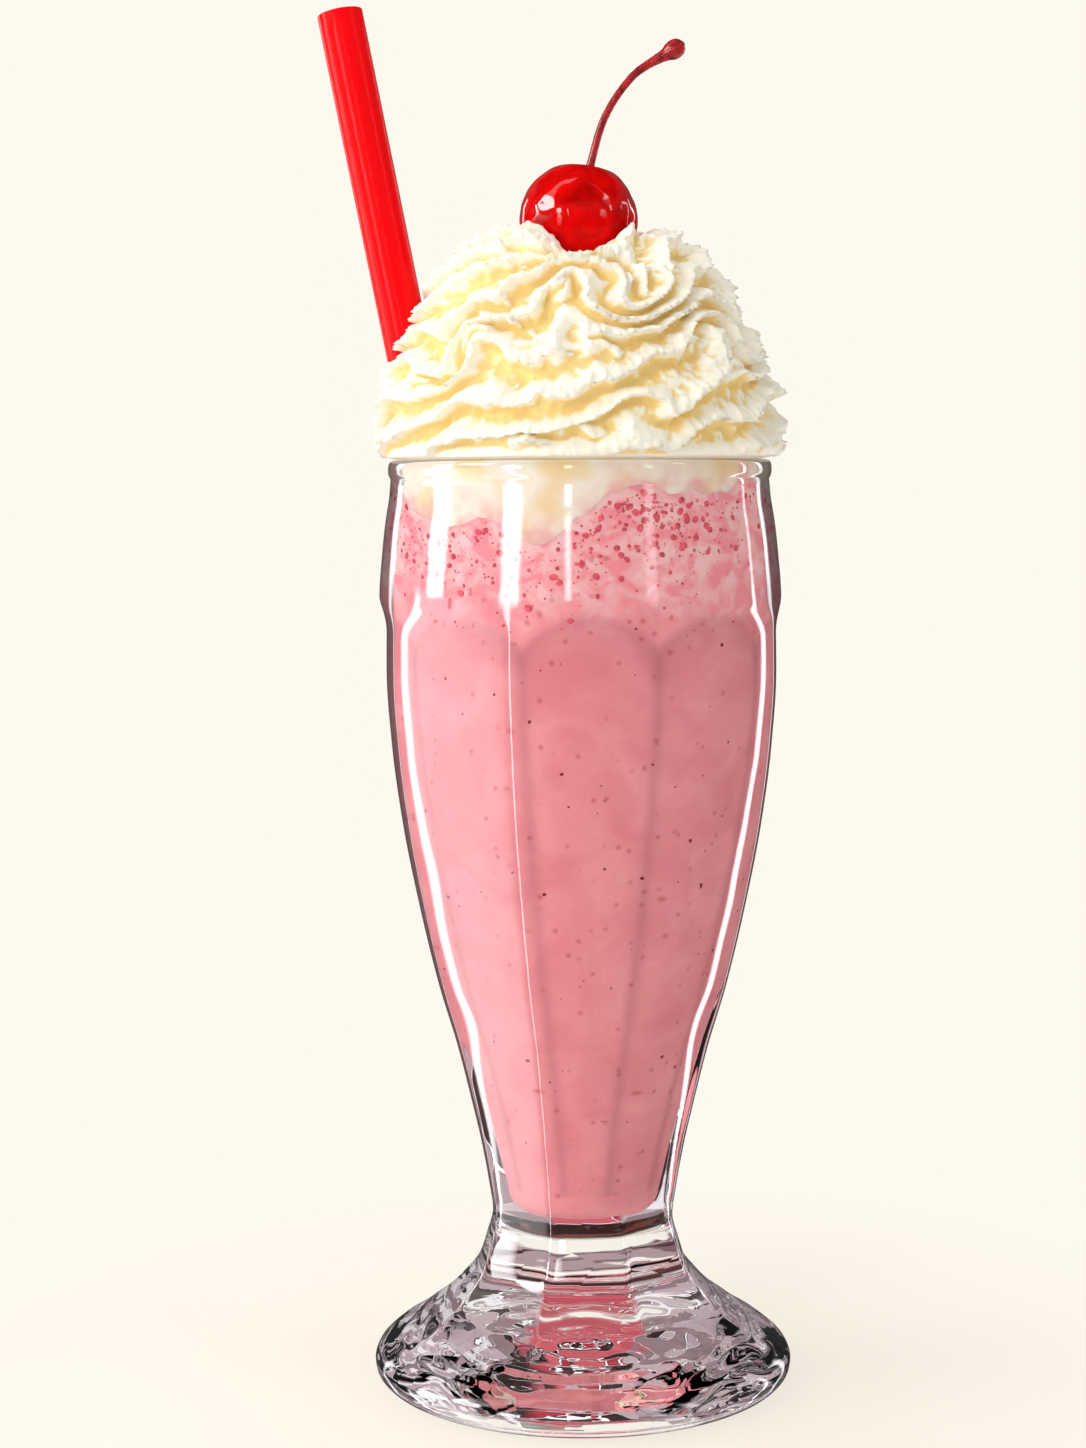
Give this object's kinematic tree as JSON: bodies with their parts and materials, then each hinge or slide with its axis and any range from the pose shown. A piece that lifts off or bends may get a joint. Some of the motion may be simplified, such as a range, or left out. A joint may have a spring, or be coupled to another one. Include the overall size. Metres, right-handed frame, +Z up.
{
  "type": "strawberry milkshake",
  "caption": "Strawberry milkshake in a footed soda-fountain glass with bowed panels, topped with piped whipped cream, a stemmed cherry and a straw.",
  "frame": {"origin": "centre of the foot's flat underside", "axes": "+Z up along the glass's own axis, -Y the front, +X to the right of the front; the straw leans towards -X"},
  "size_m": [0.0964, 0.0866, 0.2819],
  "materials": {
    "clear_glass": "polished",
    "milkshake": "smooth and moist, with small bubbles and fruit specks",
    "whipped_cream": "soft satin",
    "cherry": "wet gloss",
    "cherry_stem": "gloss",
    "straw": "gloss"
  },
  "bodies": {
    "root": {"glass": "clear_glass", "milkshake": "milkshake", "whipped_cream": "whipped_cream", "cherry": "cherry", "cherry_stem": "cherry_stem", "straw": "straw"}
  },
  "joints": []
}
